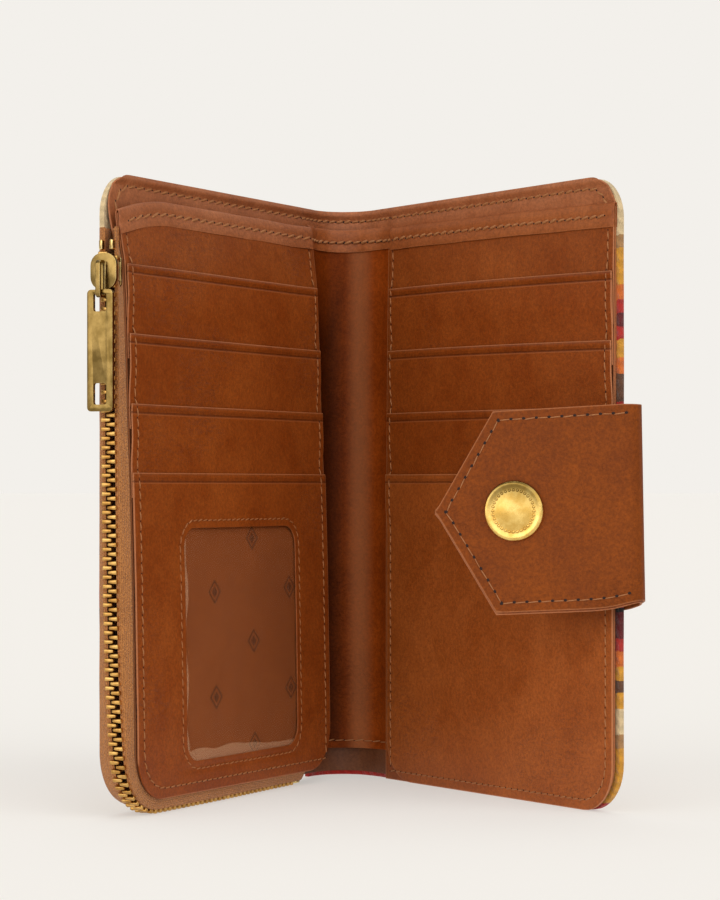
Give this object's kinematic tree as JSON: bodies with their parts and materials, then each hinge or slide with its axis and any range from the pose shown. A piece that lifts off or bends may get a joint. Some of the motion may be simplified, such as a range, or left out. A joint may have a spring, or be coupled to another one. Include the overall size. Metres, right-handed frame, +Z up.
{
  "type": "snap wallet",
  "caption": "Cloth and leather bifold wallet standing open, with tiered card pockets, an identity window, a snap tab and an L-shaped zip coin pocket.",
  "frame": {"origin": "middle of the footprint's box, on the surface that the wallet stands on", "axes": "+Z up along the covers' height, -Y towards the free edges and the viewer, +X to the back cover's side"},
  "size_m": [0.131, 0.1066, 0.152],
  "materials": {
    "wool": "woven wool cloth in stepped bands",
    "leather": "smooth saddle leather, soft sheen",
    "leather_dark": "smooth darker leather, soft sheen",
    "cloth": "plain woven lining",
    "tape": "ribbed woven zip tape",
    "brass": "polished brass",
    "clear": "clear flexible film"
  },
  "bodies": {
    "spine": {"spine_divider": "leather", "spine_divider_band": "leather", "spine_lining": "leather_dark", "spine_wool": "wool"},
    "front_cover": {"coin_pocket_inner_lining": "cloth", "coin_pocket_outer_lining": "cloth", "front_card_base": "leather", "front_card_tier_1": "leather", "front_card_tier_2": "leather", "front_card_tier_3": "leather", "front_cover_wool": "wool", "front_divider": "leather", "front_divider_band": "leather", "front_lining": "leather_dark", "front_pocket_cloth": "cloth", "id_pocket_lining": "cloth", "id_window": "clear", "id_window_pocket": "leather", "snap_stud": "brass", "snap_stud_post": "brass", "zip_bottom_stop": "brass", "zip_tape_inner": "tape", "zip_tape_outer": "tape", "zip_teeth_inner": "brass", "zip_teeth_outer": "brass", "zip_top_stop_inner": "brass", "zip_top_stop_outer": "brass"},
    "back_cover": {"back_card_base": "leather", "back_card_tier_1": "leather", "back_card_tier_2": "leather", "back_card_tier_3": "leather", "back_card_tier_4": "leather", "back_cover_wool": "wool", "back_divider": "leather", "back_divider_band": "leather", "back_lining": "leather_dark", "back_pocket_cloth": "cloth", "tab_root_leather": "leather", "tab_root_lining": "leather"},
    "tab": {"snap_cap": "brass", "snap_socket": "brass", "tab_flap_leather": "leather", "tab_flap_lining": "leather"},
    "zip_slider": {"zip_slider": "brass"},
    "zip_pull": {"zip_pull": "brass"}
  },
  "joints": [
    {"name": "front_fold", "type": "hinge", "parent": "spine", "child": "front_cover", "pos_m": [-0.01616, 0.04624, 0], "axis": [0, 0, 1], "range_deg": [-62.5, 27.5]},
    {"name": "back_fold", "type": "hinge", "parent": "spine", "child": "back_cover", "pos_m": [0.00467, 0.04661, 0], "axis": [0, 0, -1], "range_deg": [-56.3, 33.7]},
    {"name": "tab_fold", "type": "hinge", "parent": "back_cover", "child": "tab", "pos_m": [0.06066, -0.04652, 0.0485], "axis": [0, 0, 1], "range_deg": [-15, 138]},
    {"name": "zip_slide", "type": "slide", "parent": "front_cover", "child": "zip_slider", "axis": [0, 0, -1], "range_m": [0, 0.095], "deforming": ["zip_teeth_outer", "zip_teeth_inner"]},
    {"name": "pull_swing", "type": "hinge", "parent": "zip_slider", "child": "zip_pull", "pos_m": [-0.06219, -0.05128, 0.12365], "axis": [-0.887, 0.4617, 0], "range_deg": [0, 150]}
  ]
}
